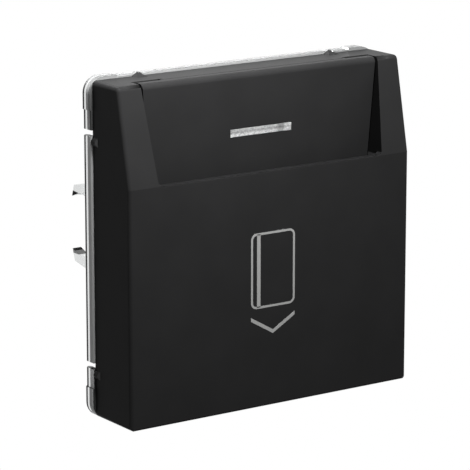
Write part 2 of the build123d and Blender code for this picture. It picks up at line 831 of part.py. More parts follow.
def build_neutral_busbar():
    """Strip from the neutral clamp, behind the arm, up and forward to the board."""
    y = housing_rear - housing_wall - neutral_strip_gap
    points = [(clamp_rear, tab_z), (front_leg_y, tab_z), (front_leg_y, strip_level),
              (y, strip_level), (y, neutral_tab_height), (board_rear + seat, neutral_tab_height)]
    return bent_strip(points, -strip_width / 2, strip_width / 2)


def build_terminal_clamp(x):
    """A sheet cage that the screw draws down on the wire."""
    half = clamp_width / 2
    cage = block((x - half, x + half), (clamp_front, clamp_rear), (clamp_bottom, clamp_top))
    inner = half - clamp_wall
    cage = cage - block((x - inner, x + inner), (clamp_front - overrun, clamp_rear + overrun),
                        (clamp_bottom + clamp_wall, clamp_top - clamp_wall))
    return cage - rod_z(clamp_screw_radius + running, clamp_bottom - overrun,
                        clamp_bottom + clamp_wall + overrun, x, (clamp_front + clamp_rear) / 2)


def build_terminal_screws():
    """Three clamp screws, reached from below through the housing."""
    screws = []
    y = (clamp_front + clamp_rear) / 2
    for x in terminal_places().values():
        head_top = clamp_bottom - seat
        shaft = rod_z(clamp_screw_radius, head_top, wire_z - wire_radius - seat, x, y)
        head = rod_z(clamp_head_radius, head_top - clamp_head_height, head_top, x, y)
        bottom = head_top - clamp_head_height
        slot = block((x - screw_slot_width / 2, x + screw_slot_width / 2),
                     (y - clamp_head_radius, y + clamp_head_radius),
                     (bottom - overrun, bottom + screw_slot_depth))
        screws.append(shaft + head - slot)
    return Compound(children=screws)


def build_circuit_board():
    """The indicator's board on the carrier plate's two stakes."""
    board = block((-board_half_width, board_half_width), (board_front + seat, board_rear),
                  (board_bottom, board_top))
    for side in (-1, 1):
        board = board - rod_y(stake_radius + running, board_front - overrun, board_rear + overrun,
                              side * stake_offset, stake_height)
    return board


def build_indicator_led():
    """The flat-topped light on the board's front, reaching through the carrier plate."""
    base = board_front
    flange = rod_y(led_flange_radius, base - led_flange, base, 0, window_z)
    body = rod_y(led_radius, base - led_length, base, 0, window_z)
    body = chamfer(body.faces().sort_by(Axis.Y)[0].edges(), led_bevel)
    return flange + body


def build_series_resistor():
    """The resistor behind the board, with its lead bent down to the board at both ends."""
    y = board_rear + resistor_radius + resistor_lead_radius
    body = rod_x(resistor_radius, -resistor_length / 2, resistor_length / 2, y, resistor_height)
    half = resistor_length / 2 + resistor_lead_reach
    foot = board_rear + seat
    path = FilletPolyline((-half, foot, resistor_height), (-half, y, resistor_height),
                          (half, y, resistor_height), (half, foot, resistor_height),
                          radius=resistor_lead_bend)
    plane = Plane(origin=path @ 0, z_dir=path % 0)
    lead = sweep(plane * RegularPolygon(resistor_lead_radius, wire_sides), path=path)
    return body + lead


def build_parts():
    """Every node of the switch with its solid."""
    parts = {
        "front_cover": build_front_cover(),
        "card_flap": build_card_flap(),
        "window_lens": build_window_lens(),
        "clear_frame": build_clear_frame(),
        "carrier_plate": build_carrier_plate(),
        "switch_housing": build_switch_housing(),
        "housing_screws": build_housing_screws(),
        "contact_carrier": build_contact_carrier(),
        "plunger": build_plunger(),
        "return_spring": build_return_spring(),
        "contact_arm": build_contact_arm(),
        "arm_contact": contact_button(arm_rear, arm_contact_face),
        "contact_pivot_pin": build_contact_pivot_pin(),
        "contact_spring": build_contact_spring(),
        "line_busbar": build_line_busbar(),
        "load_busbar": build_load_busbar(),
        "neutral_busbar": build_neutral_busbar(),
        "fixed_contact": contact_button(load_front - contact_height, load_front),
        "terminal_screws": build_terminal_screws(),
        "circuit_board": build_circuit_board(),
        "indicator_led": build_indicator_led(),
        "series_resistor": build_series_resistor(),
    }
    for name, x in terminal_places().items():
        parts["terminal_clamp_" + name] = build_terminal_clamp(x)
    return parts


os.makedirs("parts", exist_ok=True)
for node, shape in build_parts().items():
    export_step(shape, "parts/" + node + ".step")
print("flap travel in degrees", round(math.degrees(flap_travel), 3))
print("arm travel in degrees", round(math.degrees(arm_angle), 3))
print("card push", round(card_push, 3), "press height", round(press_z, 3))
print("hinge", round(hinge_y, 3), round(hinge_z, 3), "pivot", -pivot_offset, round(pivot_y, 3))
print("wire bore", round(wire_z, 3), "from", round(housing_rear - wire_bore_length, 3),
      "to", round(housing_rear, 3))
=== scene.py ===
"""The hotel key card switch, dressed for its photograph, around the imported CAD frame."""

import json
import logging
import math
from dataclasses import dataclass
from enum import Enum
from typing import Callable, Optional

import bmesh
import bpy
from mathutils import Matrix, Vector


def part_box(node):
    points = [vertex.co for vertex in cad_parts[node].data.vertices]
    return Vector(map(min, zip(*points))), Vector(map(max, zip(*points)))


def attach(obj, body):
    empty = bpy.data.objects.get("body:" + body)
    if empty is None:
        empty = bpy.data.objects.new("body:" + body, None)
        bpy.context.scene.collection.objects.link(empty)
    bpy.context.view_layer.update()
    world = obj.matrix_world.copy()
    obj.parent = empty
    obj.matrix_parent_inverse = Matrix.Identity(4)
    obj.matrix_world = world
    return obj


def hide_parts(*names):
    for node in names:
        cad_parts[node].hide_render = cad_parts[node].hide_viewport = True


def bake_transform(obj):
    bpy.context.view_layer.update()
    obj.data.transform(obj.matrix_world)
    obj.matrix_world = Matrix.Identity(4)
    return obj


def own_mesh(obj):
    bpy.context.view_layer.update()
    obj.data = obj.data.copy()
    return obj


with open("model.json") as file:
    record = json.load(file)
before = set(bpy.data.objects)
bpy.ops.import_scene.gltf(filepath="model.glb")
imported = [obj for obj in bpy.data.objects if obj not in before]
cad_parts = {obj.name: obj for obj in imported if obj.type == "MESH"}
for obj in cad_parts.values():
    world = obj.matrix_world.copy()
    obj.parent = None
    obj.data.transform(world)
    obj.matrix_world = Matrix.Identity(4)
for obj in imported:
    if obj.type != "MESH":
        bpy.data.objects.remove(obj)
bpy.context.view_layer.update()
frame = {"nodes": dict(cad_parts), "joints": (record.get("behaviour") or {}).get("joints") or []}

MILLIMETRE = 0.001
LOG = logging.getLogger("card_switch")


class Body(Enum):
    """The moving groups that the scene's pieces ride on."""

    HOUSING = "housing"
    TONGUE = "card_tongue"
    ARM = "switch_arm"


def mm(value: float) -> float:
    """Returns a length in metres from one in millimetres."""
    return value * MILLIMETRE


RIGHT = Vector((1.0, 0.0, 0.0))
BACK = Vector((0.0, 1.0, 0.0))
UP = Vector((0.0, 0.0, 1.0))
QUARTER_TURN = Matrix.Rotation(math.radians(90.0), 3, "X")
WHITE = (1.0, 1.0, 1.0, 1.0)

# The least share of a normal along an axis, for a face square to it, facing it or slanted to it
SQUARE_ON = 0.99
FACING = 0.9
SLANTED = 0.5

# How near points have to be to merge, snap or touch, and how far two faces turn at an edge
MERGE_WITHIN = mm(0.0005)
SNAP_WITHIN = mm(0.005)
TOUCH_WITHIN = mm(0.01)
FLAT_UNDER = math.radians(0.05)
SMOOTH_UNDER = math.radians(35.0)
SHARP_OVER = math.radians(30.0)


def scaled(color: tuple[float, ...], factor: float) -> tuple[float, ...]:
    """Returns a colour made darker or lighter."""
    return tuple(channel * factor for channel in color)


class Shader:
    """A material's node tree while it is being wired."""

    MIDDLE_HALF = (0.25, 0.75)
    TINT_STOPS = (0.3, 0.7)

    def __init__(self, name: str) -> None:
        """Starts a material with its Principled shader.

        Args:
            name: The material's name.
        """
        self.material = bpy.data.materials.new(name)
        self.material.use_nodes = True
        self.tree = self.material.node_tree
        self.surface = self.tree.nodes["Principled BSDF"]
        self.output = self.tree.nodes["Material Output"]
        self.place: Optional[bpy.types.Node] = None

    def add(self, kind: str, **settings: object) -> bpy.types.Node:
        """Adds a node.

        Args:
            kind: The node's type without its ShaderNode prefix.
            **settings: Properties of the node, or the values of its inputs by socket name
                with underscores for spaces.

        Returns:
            The new node.
        """
        node = self.tree.nodes.new("ShaderNode" + kind)
        for key, value in settings.items():
            socket = node.inputs.get(key.replace("_", " "))
            if socket is not None and not hasattr(node, key):
                socket.default_value = value
            else:
                setattr(node, key, value)
        return node

    def set(self, **values: object) -> None:
        """Sets inputs of the surface, by socket name with underscores for spaces."""
        for key, value in values.items():
            self.surface.inputs[key.replace("_", " ")].default_value = value

    def link(self, source: bpy.types.NodeSocket, target: bpy.types.NodeSocket) -> None:
        """Joins an output to an input."""
        self.tree.links.new(source, target)

    def coordinates(self) -> bpy.types.NodeSocket:
        """Returns the object coordinates, in metres."""
        if self.place is None:
            self.place = self.add("TexCoord")
        return self.place.outputs["Object"]

    def noise(self, size: float, detail: float = 2.0) -> bpy.types.NodeSocket:
        """Adds a noise pattern.

        Args:
            size: The width of one feature, in metres.
            detail: How many finer layers it has.

        Returns:
            The noise value.
        """
        node = self.add("TexNoise", Scale=1.0 / size, Detail=detail)
        self.link(self.coordinates(), node.inputs["Vector"])
        return node.outputs["Fac"]

    def roughen(self, value: bpy.types.NodeSocket, low: float, high: float) -> None:
        """Varies the roughness with a pattern.

        Args:
            value: The pattern.
            low: The roughness at the lower end of the pattern's middle half.
            high: The roughness at its upper end.
        """
        start, end = self.MIDDLE_HALF
        node = self.add("MapRange", From_Min=start, From_Max=end, To_Min=low, To_Max=high)
        self.link(value, node.inputs["Value"])
        self.link(node.outputs["Result"], self.surface.inputs["Roughness"])

    def tint(self, value: bpy.types.NodeSocket, dark: tuple[float, ...],
             light: tuple[float, ...]) -> None:
        """Colours the surface from a pattern.

        Args:
            value: The pattern.
            dark: The colour where the pattern is low.
            light: The colour where it is high.
        """
        ramp = self.add("ValToRGB")
        for element, stop, color in zip(ramp.color_ramp.elements, self.TINT_STOPS, (dark, light)):
            element.position = stop
            element.color = (*color, 1.0)
        self.link(value, ramp.inputs["Fac"])
        self.link(ramp.outputs["Color"], self.surface.inputs["Base Color"])

    def grain(self, height: bpy.types.NodeSocket, depth: float, strength: float = 1.0) -> None:
        """Raises the surface by a pattern.

        Args:
            height: The pattern.
            depth: How deep the pattern is, in metres.
            strength: How much of it shows.
        """
        bump = self.add("Bump", Strength=strength, Distance=depth)
        self.link(height, bump.inputs["Height"])
        self.link(bump.outputs["Normal"], self.surface.inputs["Normal"])


@dataclass(frozen=True)
class Finish:
    """What a piece is made of."""

    name: str

    def material(self) -> bpy.types.Material:
        """Makes the material.

        Returns:
            The finished material.
        """
        shader = Shader(self.name)
        self.wire(shader)
        return shader.material

    def wire(self, shader: Shader) -> None:
        """Wires the nodes, in each kind of finish its own."""
        raise NotImplementedError


@dataclass(frozen=True)
class MouldedPlastic(Finish):
    """An opaque moulded plastic with a fine eroded grain and slight flow marks."""

    color: tuple[float, float, float]
    roughness: float
    specular: float
    grain_depth: float = mm(0.006)
    grain_size: float = mm(0.16)
    flow_size: float = mm(9.0)
    detail: float = 3.0
    mottle: float = 0.06
    swing: float = 0.05

    def wire(self, shader: Shader) -> None:
        """Wires the nodes.

        Args:
            shader: The material's shader.
        """
        shader.set(Specular_IOR_Level=self.specular)
        flow = shader.noise(self.flow_size, self.detail)
        fine = shader.noise(self.grain_size, self.detail)
        shader.tint(flow, scaled(self.color, 1.0 - self.mottle), scaled(self.color, 1.0 + self.mottle))
        shader.roughen(fine, self.roughness - self.swing, self.roughness + self.swing)
        shader.grain(fine, self.grain_depth)


@dataclass(frozen=True)
class ClearPlastic(Finish):
    """A clear moulded plastic with faint flow lines."""

    color: tuple[float, float, float]
    roughness: float
    clearness: float
    index: float = 1.49
    flow_size: float = mm(5.0)
    flow_depth: float = mm(0.01)
    flow_strength: float = 0.3
    flow_shade: float = 0.94
    glossier: float = 0.7
    duller: float = 1.4

    def wire(self, shader: Shader) -> None:
        """Wires the nodes.

        Args:
            shader: The material's shader.
        """
        shader.set(Transmission_Weight=self.clearness, IOR=self.index)
        flow = shader.noise(self.flow_size)
        shader.tint(flow, scaled(self.color, self.flow_shade), self.color)
        shader.roughen(flow, self.roughness * self.glossier, self.roughness * self.duller)
        shader.grain(flow, self.flow_depth, self.flow_strength)


@dataclass(frozen=True)
class PaintedClearEdge(Finish):
    """A clear wall with painted refraction: an opaque grey in place of what refraction shows, one grey
    on upright faces and another on level faces, where the top light falls.
    """

    upright: float
    level: float
    # mirror: a metallic share, which gives a band a painted glint of the white surroundings
    mirror: float = 0.0
    roughness: float = 0.3
    index: float = 1.1
    coolness: float = 0.01
    unevenness: float = 0.06
    flow_size: float = mm(5.0)
    flow_depth: float = mm(0.01)
    flow_strength: float = 0.3
    glossier: float = 0.8
    duller: float = 1.3

    def wire(self, shader: Shader) -> None:
        """Wires the nodes.

        Args:
            shader: The material's shader.
        """
        shader.set(Metallic=self.mirror, IOR=self.index)
        # Painted light: the grey follows the normal's Z, from the upright value on walls to the level
        # value on faces turned up to the top light
        geometry = shader.add("NewGeometry")
        split = shader.add("SeparateXYZ")
        shader.link(geometry.outputs["Normal"], split.inputs["Vector"])
        flow = shader.noise(self.flow_size)
        uneven = shader.add("Math", operation="MULTIPLY_ADD")
        uneven.inputs[1].default_value = self.unevenness
        shader.link(flow, uneven.inputs[0])
        shader.link(split.outputs["Z"], uneven.inputs[2])
        ramp = shader.add("ValToRGB")
        for element, grey in zip(ramp.color_ramp.elements, (self.upright, self.level)):
            cool = grey * (1.0 + self.coolness)
            element.color = (grey, cool, cool, 1.0)
        shader.link(uneven.outputs["Value"], ramp.inputs["Fac"])
        shader.link(ramp.outputs["Color"], shader.surface.inputs["Base Color"])
        shader.roughen(flow, self.roughness * self.glossier, self.roughness * self.duller)
        shader.grain(flow, self.flow_depth, self.flow_strength)


@dataclass(frozen=True)
class MilkyLens(Finish):
    """A milky lens in pale and greyer patches, each with a slight bump, and brighter or darker in steps
    along its height and its width.
    """

    color: tuple[float, float, float]
    low: Vector
    high: Vector
    heights: tuple[tuple[float, float], ...]
    widths: tuple[tuple[float, float], ...]
    patch: float = mm(0.26)
    patch_depth: float = mm(0.04)
    patch_strength: float = 0.5
    palest: float = 1.2
    greyest: float = 0.6
    clearness: float = 0.2
    roughness: float = 0.35

    def wire(self, shader: Shader) -> None:
        """Wires the nodes.

        Args:
            shader: The material's shader.
        """
        shader.set(Transmission_Weight=self.clearness, Roughness=self.roughness)
        speck = shader.add("TexVoronoi", Scale=1.0 / self.patch)
        shader.link(shader.coordinates(), speck.inputs["Vector"])
        facets = shader.add("SeparateColor")
        shader.link(speck.outputs["Color"], facets.inputs["Color"])
        uneven = shader.add("MapRange", To_Min=self.palest, To_Max=self.greyest)
        shader.link(facets.outputs["Red"], uneven.inputs["Value"])
        shade = uneven.outputs["Result"]
        for axis, start, end, stops in (("Z", self.low.z, self.high.z, self.heights),
                                        ("X", self.low.x, self.high.x, self.widths)):
            product = shader.add("Math", operation="MULTIPLY")
            shader.link(self.steps(shader, axis, start, end, stops), product.inputs[0])
            shader.link(shade, product.inputs[1])
            shade = product.outputs["Value"]
        ramp = shader.add("ValToRGB")
        ramp.color_ramp.elements[1].color = (*self.color, 1.0)
        shader.link(shade, ramp.inputs["Fac"])
        shader.link(ramp.outputs["Color"], shader.surface.inputs["Base Color"])
        shader.grain(facets.outputs["Red"], self.patch_depth, self.patch_strength)

    def steps(self, shader: Shader, axis: str, start: float, end: float,
              stops: tuple[tuple[float, float], ...]) -> bpy.types.NodeSocket:
        """Shades the lens along one axis.

        Args:
            shader: The material's shader.
            axis: The axis.
            start: Where the shading starts, in metres.
            end: Where it ends.
            stops: Shares of the way, each with its brightness.

        Returns:
            The brightness.
        """
        split = shader.add("SeparateXYZ")
        shader.link(shader.coordinates(), split.inputs["Vector"])
        along = shader.add("MapRange", From_Min=start, From_Max=end)
        shader.link(split.outputs[axis], along.inputs["Value"])
        ramp = shader.add("ValToRGB")
        for place, _ in stops[1:-1]:
            ramp.color_ramp.elements.new(place)
        for element, (place, level) in zip(ramp.color_ramp.elements, stops):
            element.position = place
            element.color = (level, level, level, 1.0)
        shader.link(along.outputs["Result"], ramp.inputs["Fac"])
        return ramp.outputs["Color"]


@dataclass(frozen=True)
class PlatedMetal(Finish):
    """A bright or plated metal with drawing lines and small stains."""

    color: tuple[float, float, float]
    roughness: float
    line_size: float = mm(0.08)
    line_stretch: float = 14.0
    line_detail: float = 2.0
    line_depth: float = mm(0.003)
    line_strength: float = 0.6
    stain_size: float = mm(1.6)
    stain_detail: float = 4.0
    stain: float = 0.12
    glossier: float = 0.75
    duller: float = 1.3

    def wire(self, shader: Shader) -> None:
        """Wires the nodes.

        Args:
            shader: The material's shader.
        """
        shader.set(Metallic=1.0)
        mapping = shader.add("Mapping")
        mapping.inputs["Scale"].default_value = (1.0, 1.0, 1.0 / self.line_stretch)
        shader.link(shader.coordinates(), mapping.inputs["Vector"])
        lines = shader.add("TexNoise", Scale=1.0 / self.line_size, Detail=self.line_detail)
        shader.link(mapping.outputs["Vector"], lines.inputs["Vector"])
        stains = shader.noise(self.stain_size, self.stain_detail)
        shader.tint(stains, scaled(self.color, 1.0 - self.stain), self.color)
        shader.roughen(lines.outputs["Fac"], self.roughness * self.glossier,
                       self.roughness * self.duller)
        shader.grain(lines.outputs["Fac"], self.line_depth, self.line_strength)


@dataclass(frozen=True)
class LacqueredBoard(Finish):
    """A circuit board under green lacquer, with the glass weave showing faintly."""

    color: tuple[float, float, float]
    weave: float = mm(0.5)
    weave_depth: float = mm(0.01)
    weave_strength: float = 0.5
    weave_shade: float = 0.8
    wave_length: float = 0.3142
    wander: float = 0.6
    lacquer: float = 0.6
    lacquer_roughness: float = 0.12
    blotch_size: float = mm(2.5)
    glossiest: float = 0.3
    dullest: float = 0.42

    def wire(self, shader: Shader) -> None:
        """Wires the nodes.

        Args:
            shader: The material's shader.
        """
        shader.set(Coat_Weight=self.lacquer, Coat_Roughness=self.lacquer_roughness)
        threads = shader.add("Math", operation="MULTIPLY")
        for index, direction in enumerate(("X", "Z")):
            wave = shader.add("TexWave", Scale=self.wave_length / self.weave, Distortion=self.wander,
                              bands_direction=direction)
            shader.link(shader.coordinates(), wave.inputs["Vector"])
            shader.link(wave.outputs["Fac"], threads.inputs[index])
        shader.tint(threads.outputs["Value"], scaled(self.color, self.weave_shade), self.color)
        shader.roughen(shader.noise(self.blotch_size), self.glossiest, self.dullest)
        shader.grain(threads.outputs["Value"], self.weave_depth, self.weave_strength)


@dataclass(frozen=True)
class PrintedInk(Finish):
    """Pad printed ink, slightly uneven where the surface grain shows through."""

    color: tuple[float, float, float]
    roughness: float = 0.6
    specular: float = 0.2
    speckle_size: float = mm(0.12)
    speckle_depth: float = mm(0.004)
    speckle_strength: float = 0.8
    darkest: float = 0.82
    lightest: float = 1.08
    swing: float = 0.1

    def wire(self, shader: Shader) -> None:
        """Wires the nodes.

        Args:
            shader: The material's shader.
        """
        shader.set(Specular_IOR_Level=self.specular)
        speckle = shader.noise(self.speckle_size)
        shader.tint(speckle, scaled(self.color, self.darkest), scaled(self.color, self.lightest))
        shader.roughen(speckle, self.roughness - self.swing, self.roughness + self.swing)
        shader.grain(speckle, self.speckle_depth, self.speckle_strength)


COVER_GRAIN = mm(0.003)
BLACK_COVER = MouldedPlastic("black_cover", (0.021, 0.021, 0.0213), roughness=0.34, specular=0.015,
                             grain_depth=COVER_GRAIN)
# Painted shade: darker copies of the cover's black for the slot's lip and the cheeks' inner walls
PAINTED_SHADE_COVER = MouldedPlastic("painted_shade_cover", (0.012, 0.012, 0.0122), roughness=0.4, specular=0.01,
                              grain_depth=COVER_GRAIN)
PAINTED_DEEP_SHADE_COVER = MouldedPlastic("painted_deep_shade_cover", (0.003, 0.003, 0.003), roughness=0.45, specular=0.01,
                            grain_depth=COVER_GRAIN)
# Painted light: a lighter black for the side nibs' slanted ends, as if lit
PAINTED_LIT_COVER = MouldedPlastic("painted_lit_cover", (0.055, 0.055, 0.056), roughness=0.5, specular=0.1,
                           grain_depth=COVER_GRAIN)
DARK_PLASTIC = MouldedPlastic("dark_plastic", (0.03, 0.03, 0.032), roughness=0.6, specular=0.2)
GREY_PLASTIC = MouldedPlastic("grey_plastic", (0.27, 0.275, 0.28), roughness=0.55, specular=0.3)
WHITE_PLASTIC = MouldedPlastic("white_plastic", (0.66, 0.66, 0.63), roughness=0.5, specular=0.35)
RESISTOR_BLUE = MouldedPlastic("resistor_blue", (0.14, 0.26, 0.36), roughness=0.3, specular=0.5)
CLEAR_FRAME = ClearPlastic("clear_frame", (0.8, 0.82, 0.82), roughness=0.06, clearness=0.94)
CLEAR_HOOK = ClearPlastic("clear_hook", (0.84, 0.85, 0.85), roughness=0.1, clearness=0.9, index=1.03)
# Painted refraction for the clear frame's bands: a painted shade line, a painted glint and highlight,
# painted grey refraction on the skirt's walls and front, painted shade on the barbs and painted light
# on the catches
PAINTED_SHADE_LINE = PaintedClearEdge("painted_shade_line", upright=0.055, level=0.24)
PAINTED_GLINT = PaintedClearEdge("painted_glint", upright=0.8, level=0.8, mirror=0.85, roughness=0.15)
PAINTED_HIGHLIGHT = PaintedClearEdge("painted_highlight", upright=0.84, level=0.27)
PAINTED_GREY_REFRACTION = PaintedClearEdge("painted_grey_refraction", upright=0.56, level=0.13)
PAINTED_WALL_REFRACTION = PaintedClearEdge("painted_wall_refraction", upright=0.42, level=0.2, mirror=0.07)
PAINTED_FRONT_REFRACTION = PaintedClearEdge("painted_front_refraction", upright=0.23, level=0.23)
PAINTED_BARB_SHADE = PaintedClearEdge("painted_barb_shade", upright=0.012, level=0.006)
PAINTED_CATCH_LIGHT = PaintedClearEdge("painted_catch_light", upright=0.9, level=0.28)
WINDOW_LOW, WINDOW_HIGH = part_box("window_lens")
WINDOW_FLANGE = Vector([mm(1.2)] * 3)
CLEAR_LENS = MilkyLens("clear_lens", (0.86, 0.87, 0.87),
                       low=WINDOW_LOW + WINDOW_FLANGE, high=WINDOW_HIGH - WINDOW_FLANGE,
                       heights=((0.0, 1.0), (0.28, 0.95), (0.42, 0.6), (0.6, 0.3), (0.72, 0.42),
                                (1.0, 0.46)),
                       widths=((0.0, 0.95), (0.74, 1.0), (0.79, 0.55), (0.86, 0.55), (0.9, 1.4),
                               (1.0, 1.6)))
LED_WHITE = ClearPlastic("led_white", (0.85, 0.87, 0.9), roughness=0.3, clearness=0.5)
SIGN_INK = PrintedInk("sign_ink", (0.36, 0.36, 0.355))
BOARD_GREEN = LacqueredBoard("board_green", (0.02, 0.13, 0.06))
SCREW_STEEL = PlatedMetal("screw_steel", (0.55, 0.55, 0.54), roughness=0.32)
SPRING_STEEL = PlatedMetal("spring_steel", (0.6, 0.6, 0.6), roughness=0.22)
CLAMP_STEEL = PlatedMetal("clamp_steel", (0.58, 0.58, 0.55), roughness=0.36)
COPPER_STRIP = PlatedMetal("copper_strip", (0.62, 0.33, 0.2), roughness=0.3)
BRASS_STRIP = PlatedMetal("brass_strip", (0.64, 0.48, 0.22), roughness=0.3)
CONTACT_SILVER = PlatedMetal("contact_silver", (0.78, 0.77, 0.74), roughness=0.18)

NODE_FINISHES: dict[str, Finish] = {
    "carrier_plate": DARK_PLASTIC,
    "switch_housing": GREY_PLASTIC,
    "housing_screws": SCREW_STEEL,
    "contact_carrier": WHITE_PLASTIC,
    "plunger": WHITE_PLASTIC,
    "contact_arm": COPPER_STRIP,
    "arm_contact": CONTACT_SILVER,
    "contact_pivot_pin": SCREW_STEEL,
    "line_busbar": BRASS_STRIP,
    "load_busbar": BRASS_STRIP,
    "neutral_busbar": BRASS_STRIP,
    "fixed_contact": CONTACT_SILVER,
    "terminal_clamp_line": CLAMP_STEEL,
    "terminal_clamp_neutral": CLAMP_STEEL,
    "terminal_clamp_load": CLAMP_STEEL,
    "terminal_screws": SCREW_STEEL,
    "circuit_board": BOARD_GREEN,
    "indicator_led": LED_WHITE,
    "series_resistor": RESISTOR_BLUE,
}


class Dresser:
    """Makes each finish once, and puts pieces into the scene with theirs."""

    def __init__(self) -> None:
        """Starts with no materials made."""
        self.made: dict[str, bpy.types.Material] = {}

    def material(self, finish: Finish) -> bpy.types.Material:
        """Returns a finish's material, made on its first use."""
        if finish.name not in self.made:
            self.made[finish.name] = finish.material()
        return self.made[finish.name]

    def dress_node(self, node: str, finish: Finish) -> None:
        """Gives a CAD node its finish.

        Args:
            node: The node's name.
            finish: What it is made of.
        """
        mesh = frame["nodes"][node].data
        mesh.materials.clear()
        mesh.materials.append(self.material(finish))
        LOG.info("node %s is %s", node, finish.name)

    def piece(self, name: str, form: bmesh.types.BMesh, finish: Finish,
              body: Optional[Body]) -> bpy.types.Object:
        """Turns a finished bmesh into a piece.

        Args:
            name: The piece's name.
            form: Its shape, on the frame's axes, which is freed.
            finish: What it is made of.
            body: What it moves with, or None for a piece between two bodies, which is left on none.

        Returns:
            The new object.
        """
        mesh = bpy.data.meshes.new(name)
        form.to_mesh(mesh)
        form.free()
        mesh.set_sharp_from_angle(angle=SMOOTH_UNDER)
        mesh.polygons.foreach_set("use_smooth", [True] * len(mesh.polygons))
        mesh.materials.append(self.material(finish))
        piece = bpy.data.objects.new(name, mesh)
        bpy.context.scene.collection.objects.link(piece)
        if body is not None:
            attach(piece, body.value)
        LOG.info("piece %s has %d faces and is %s", name, len(mesh.polygons), finish.name)
        return piece

    def shaded_piece(self, name: str, form: bmesh.types.BMesh, shades: type[Enum],
                     shade_of: Callable[[bmesh.types.BMFace], Enum], body: Body) -> bpy.types.Object:
        """Turns a finished bmesh into a piece whose faces differ in finish.

        Args:
            name: The piece's name.
            form: Its shape, on the frame's axes, which is freed.
            shades: The finishes, the piece's main one first.
            shade_of: Tells which of them a face has.
            body: What it moves with.

        Returns:
            The new object.
        """
        slots = list(shades)
        for face in form.faces:
            face.material_index = slots.index(shade_of(face))
        piece = self.piece(name, form, slots[0].value, body)
        for shade in slots[1:]:
            piece.data.materials.append(self.material(shade.value))
        return piece


def merged_copy(node: str) -> bmesh.types.BMesh:
    """Copies a CAD node's shape and joins its loose triangles into flat faces.

    Args:
        node: The node's name.

    Returns:
        The closed shape.
    """
    form = bmesh.new()
    form.from_mesh(frame["nodes"][node].data)
    bmesh.ops.remove_doubles(form, verts=form.verts, dist=MERGE_WITHIN)
    bmesh.ops.dissolve_limit(form, angle_limit=FLAT_UNDER, verts=form.verts, edges=form.edges,
                             use_dissolve_boundaries=False)
    return form


def break_edges(form: bmesh.types.BMesh, size: float) -> None:
    """Rounds the sharp edges of a shape.

    Args:
        form: The shape.
        size: The width of the rounding, in metres.
    """
    sharp = [edge for edge in form.edges if len(edge.link_faces) == 2
             and edge.calc_face_angle(0.0) > SHARP_OVER]
    bmesh.ops.bevel(form, geom=sharp, offset=size, offset_type="OFFSET", affect="EDGES",
                    segments=2, profile=0.5, clamp_overlap=True, material=-1)


def cut_plane(form: bmesh.types.BMesh, faces: list[bmesh.types.BMFace], place: Vector,
              across: Vector) -> None:
    """Adds a line of edges where a plane meets some faces.

    Args:
        form: The shape.
        faces: The faces that are cut.
        place: A point on the plane.
        across: The plane's normal.
    """
    edges = {edge for face in faces for edge in face.edges}
    corners = {vert for face in faces for vert in face.verts}
    bmesh.ops.bisect_plane(form, geom=[*corners, *edges, *faces], dist=SNAP_WITHIN,
                           plane_co=place, plane_no=across)


def joint_named(name: str) -> dict:
    """Returns a joint of the frame."""
    return next(joint for joint in frame["joints"] if joint["name"] == name)


def weigh_normals(piece: bpy.types.Object) -> None:
    """Keeps a moulding's broad faces flat where they run into its roundings."""
    piece.modifiers.new("flat_faces", "WEIGHTED_NORMAL").keep_sharp = True


def rounded_plate(low: tuple[float, float], high: tuple[float, float], radius: float,
                  steps: int) -> bmesh.types.BMesh:
    """Makes a flat upright plate with rounded corners, facing the front.

    Args:
        low: Its left and bottom edges.
        high: Its right and top edges.
        radius: The radius of its corners.
        steps: The faces in each corner.

    Returns:
        The plate, at Y 0.
    """
    (left, bottom), (right, top) = low, high
    form = bmesh.new()
    bmesh.ops.create_grid(form, x_segments=1, y_segments=1, size=0.5)
    bmesh.ops.scale(form, vec=(right - left, top - bottom, 1.0), verts=form.verts)
    bmesh.ops.rotate(form, cent=(0, 0, 0), matrix=QUARTER_TURN, verts=form.verts)
    bmesh.ops.bevel(form, geom=form.verts, offset=radius, offset_type="OFFSET", affect="VERTICES",
                    segments=steps, profile=0.5, clamp_overlap=True, material=-1)
    bmesh.ops.translate(form, vec=((left + right) / 2, 0, (bottom + top) / 2), verts=form.verts)
    return form


def thicken(form: bmesh.types.BMesh, by: Vector) -> None:
    """Gives a flat shape a thickness.

    Args:
        form: The flat shape, which becomes closed.
        by: How far, and which way.
    """
    result = bmesh.ops.extrude_face_region(form, geom=form.faces[:])
    moved = [item for item in result["geom"] if isinstance(item, bmesh.types.BMVert)]
    bmesh.ops.translate(form, vec=by, verts=moved)
    bmesh.ops.recalc_face_normals(form, faces=form.faces[:])


class CoverPaintedShade(Enum):
    """Which painted shade a face of the cover gets, where the card pocket would shade it."""

    OPEN = BLACK_COVER
    LIP = PAINTED_SHADE_COVER
    DEEP = PAINTED_DEEP_SHADE_COVER


